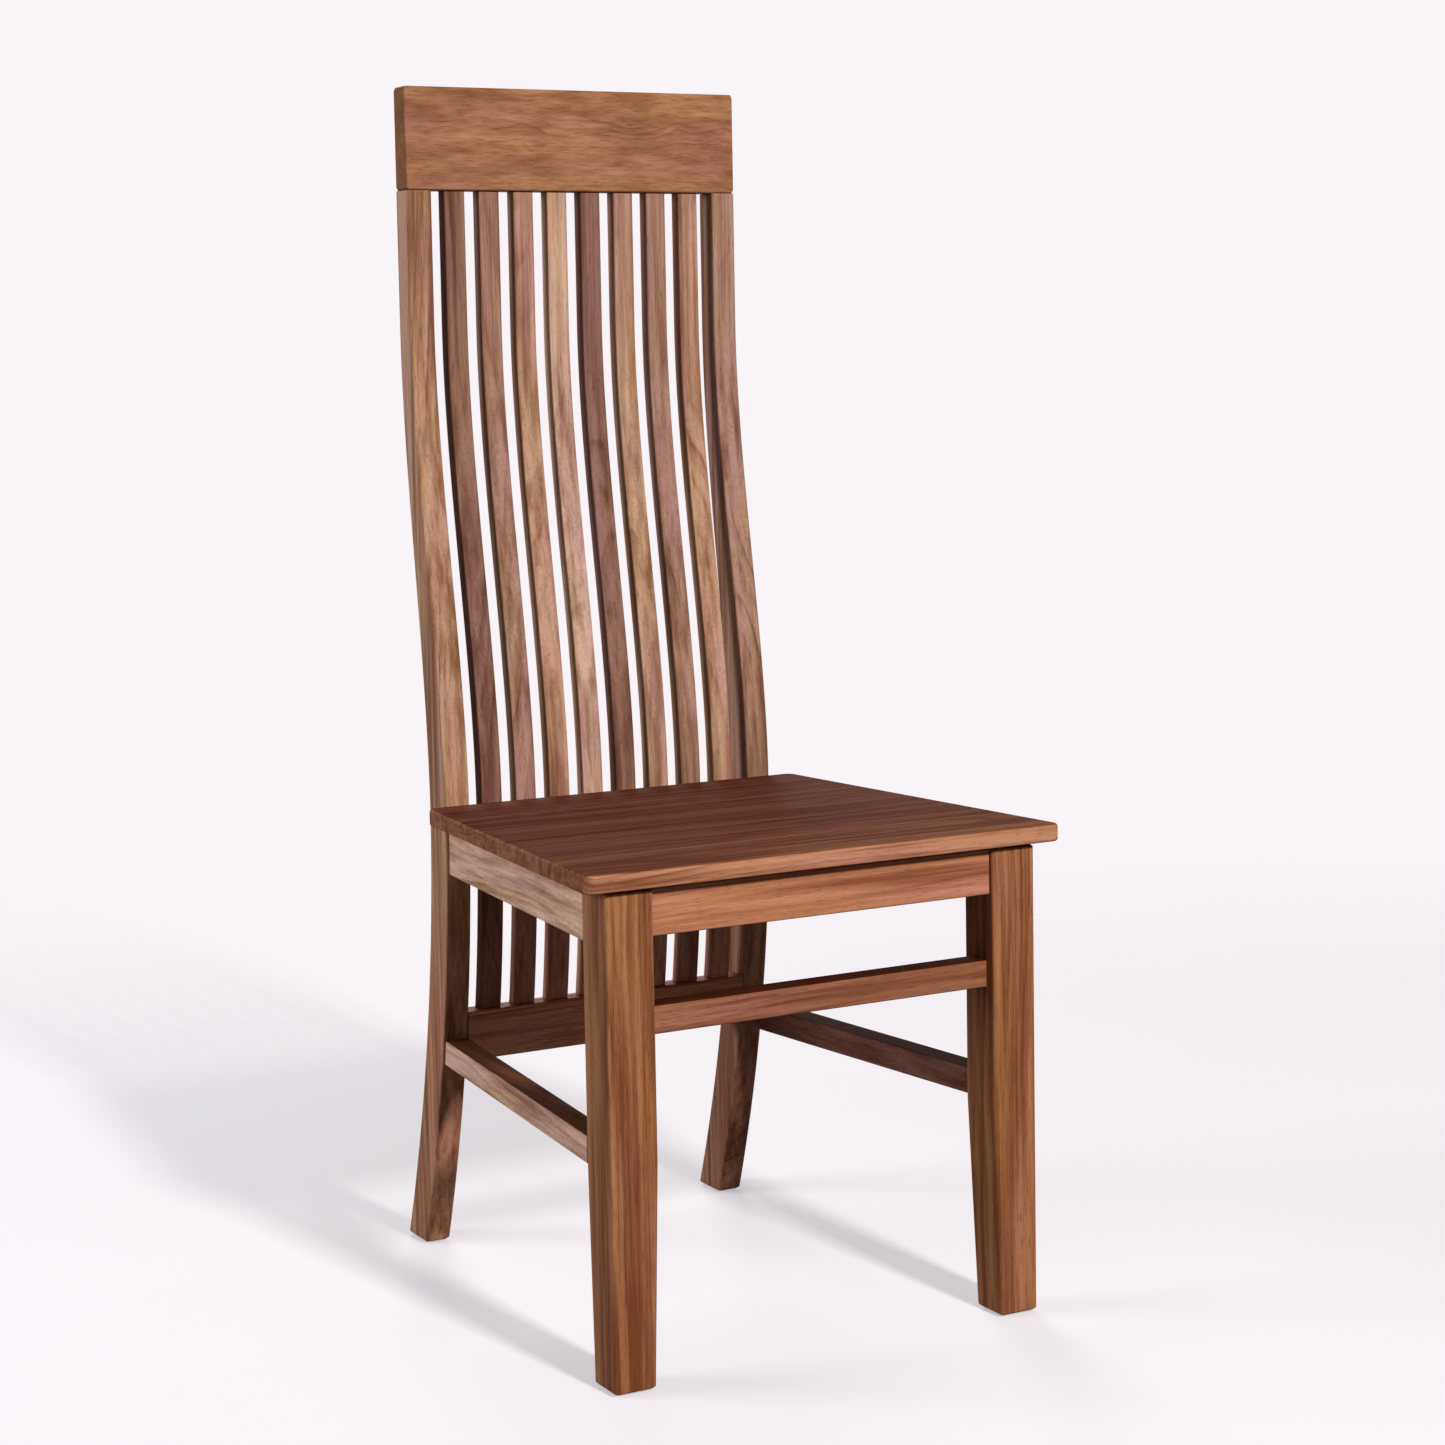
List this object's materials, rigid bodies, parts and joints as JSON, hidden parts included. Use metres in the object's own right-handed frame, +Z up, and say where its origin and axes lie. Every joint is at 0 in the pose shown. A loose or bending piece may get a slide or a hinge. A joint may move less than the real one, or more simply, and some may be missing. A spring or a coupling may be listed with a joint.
{
  "type": "dining chair",
  "caption": "Solid wood dining chair with a tall back of slender curved slats, a flat solid seat, tapered front legs, swept rear legs and stretchers.",
  "frame": {"origin": "on the floor, under the middle of the chair's bounding box", "axes": "+Z up, -Y towards the front of the seat, +X towards the right of the chair as seen from its front"},
  "size_m": [0.486, 0.5516, 1.155],
  "materials": {
    "leg_wood": "satin clear lacquer on orange-brown wood",
    "rail_wood": "satin clear lacquer on lighter orange-brown wood",
    "slat_wood": "satin clear lacquer, the tone changing from slat to slat",
    "seat_wood": "satin lacquer on dark reddish brown wood",
    "block_wood": "bare wood, unfinished",
    "steel": "zinc-plated",
    "nylon": "matt dark brown nylon"
  },
  "bodies": {
    "root": {"corner_block_front_left": "block_wood", "corner_block_front_right": "block_wood", "corner_block_rear_left": "block_wood", "corner_block_rear_right": "block_wood", "front_apron": "rail_wood", "front_leg_left": "leg_wood", "front_leg_right": "leg_wood", "front_stretcher": "rail_wood", "glide_front_left": "nylon", "glide_front_right": "nylon", "glide_rear_left": "nylon", "glide_rear_right": "nylon", "leg_screw_left": "steel", "leg_screw_right": "steel", "lower_rear_rail": "rail_wood", "rear_leg_left": "leg_wood", "rear_leg_right": "leg_wood", "rear_seat_rail": "rail_wood", "seat_board_1": "seat_wood", "seat_board_2": "seat_wood", "seat_board_3": "seat_wood", "seat_board_4": "seat_wood", "seat_board_5": "seat_wood", "seat_screw_front_left": "steel", "seat_screw_front_right": "steel", "seat_screw_rear_left": "steel", "seat_screw_rear_right": "steel", "side_apron_left": "rail_wood", "side_apron_right": "rail_wood", "side_stretcher_left": "rail_wood", "side_stretcher_right": "rail_wood", "slat_1": "slat_wood", "slat_2": "slat_wood", "slat_3": "slat_wood", "slat_4": "slat_wood", "slat_5": "slat_wood", "slat_6": "slat_wood", "slat_7": "slat_wood", "slat_8": "slat_wood", "top_rail": "rail_wood"}
  },
  "joints": []
}
